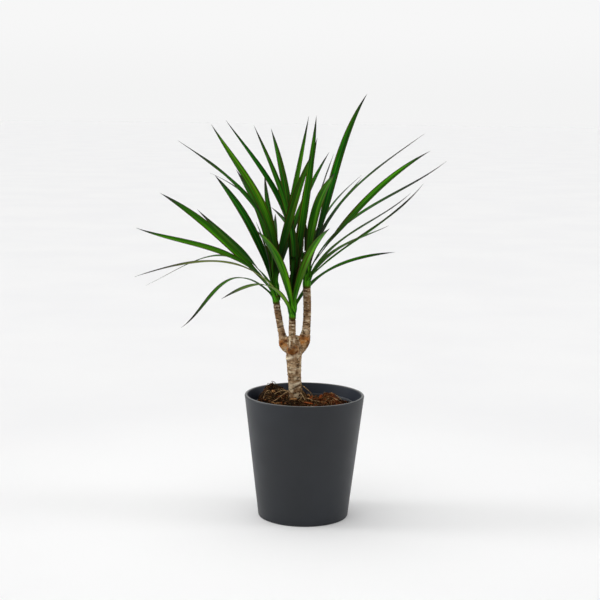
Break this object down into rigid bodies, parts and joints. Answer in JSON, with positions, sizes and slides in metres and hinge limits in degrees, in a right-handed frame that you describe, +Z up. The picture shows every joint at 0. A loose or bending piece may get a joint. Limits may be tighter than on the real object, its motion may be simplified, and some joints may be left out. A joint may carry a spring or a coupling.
{
  "type": "potted dracaena marginata",
  "caption": "Dragon tree in a plain tapered outer pot: a short ringed cane forking into slim stems, each ending in a fan of narrow arching blades.",
  "frame": {"origin": "centre of the outer pot's flat underside", "axes": "+Z up along the pot's axis; -Y is the plant's front, +X its right seen from the front"},
  "size_m": [0.3554, 0.3201, 0.495],
  "materials": {
    "pot": "charcoal, smooth matte",
    "grow_pot": "dark thin nursery plastic",
    "soil": "damp bark mulch with pale fibres",
    "trunk": "dry ringed bark, tan to brown",
    "leaves": "satin green blades with dark red margins"
  },
  "bodies": {
    "root": {"pot": "pot", "grow_pot": "grow_pot", "soil": "soil", "trunk": "trunk", "head_left": "leaves", "head_middle": "leaves", "head_right": "leaves"}
  },
  "joints": []
}
